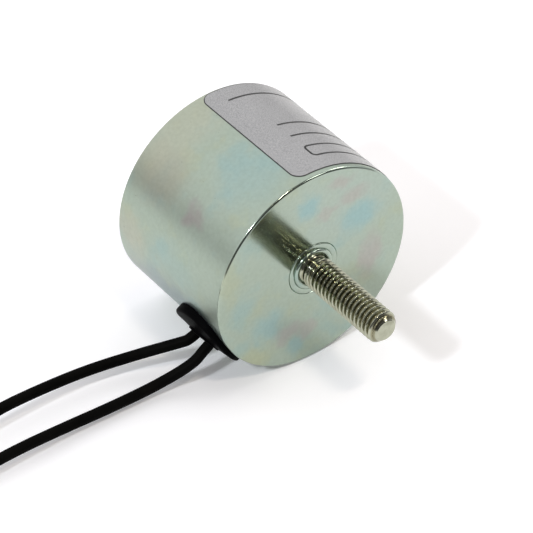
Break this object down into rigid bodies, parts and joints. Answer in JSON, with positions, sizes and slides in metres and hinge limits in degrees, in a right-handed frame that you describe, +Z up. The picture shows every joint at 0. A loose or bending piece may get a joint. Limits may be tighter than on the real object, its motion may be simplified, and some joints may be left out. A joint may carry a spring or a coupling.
{
  "type": "holding electromagnet",
  "caption": "Round holding electromagnet with a threaded mounting stud, a ring-shaped coil behind a flat pole face and two flying leads through a side grommet.",
  "frame": {"origin": "centre of the flat mounting face, where the stud comes out", "axes": "+X runs along the magnet's axis and out of the stud, +Z is up with the magnet lying on its side, +Y completes the right-handed frame"},
  "size_m": [0.0625, 0.1217, 0.0401],
  "materials": {
    "zinc_plated_steel": "turned low-carbon steel, zinc plated with a pale iridescent passivation",
    "stud_steel": "bright zinc plated thread, slightly yellow",
    "bobbin_nylon": "moulded nylon, natural",
    "enamelled_copper": "enamelled copper wire",
    "polyester_tape": "polyester tape",
    "casting_resin": "black casting resin, slightly sunk",
    "black_rubber": "moulded black rubber, satin",
    "silver_label": "matt silver polyester film with a fine sparkle",
    "lead_insulation": "black plastic insulation, smooth",
    "tinned_strands": "tinned copper strands",
    "shrink_sleeve": "black shrunk sleeve"
  },
  "bodies": {
    "root": {"pot_shell": "zinc_plated_steel", "core": "zinc_plated_steel", "mounting_stud": "stud_steel", "bobbin": "bobbin_nylon", "winding": "enamelled_copper", "coil_tape": "polyester_tape", "resin_ring": "casting_resin", "lead_grommet": "black_rubber", "label": "silver_label", "rear_lead": "lead_insulation", "front_lead": "lead_insulation", "rear_lead_coil": "lead_insulation", "front_lead_coil": "lead_insulation", "rear_lead_bare_end": "tinned_strands", "front_lead_bare_end": "tinned_strands", "rear_inner_strand": "tinned_strands", "front_inner_strand": "tinned_strands", "rear_splice_sleeve": "shrink_sleeve", "front_splice_sleeve": "shrink_sleeve", "rear_coil_tail": "enamelled_copper", "front_coil_tail": "enamelled_copper"}
  },
  "joints": []
}
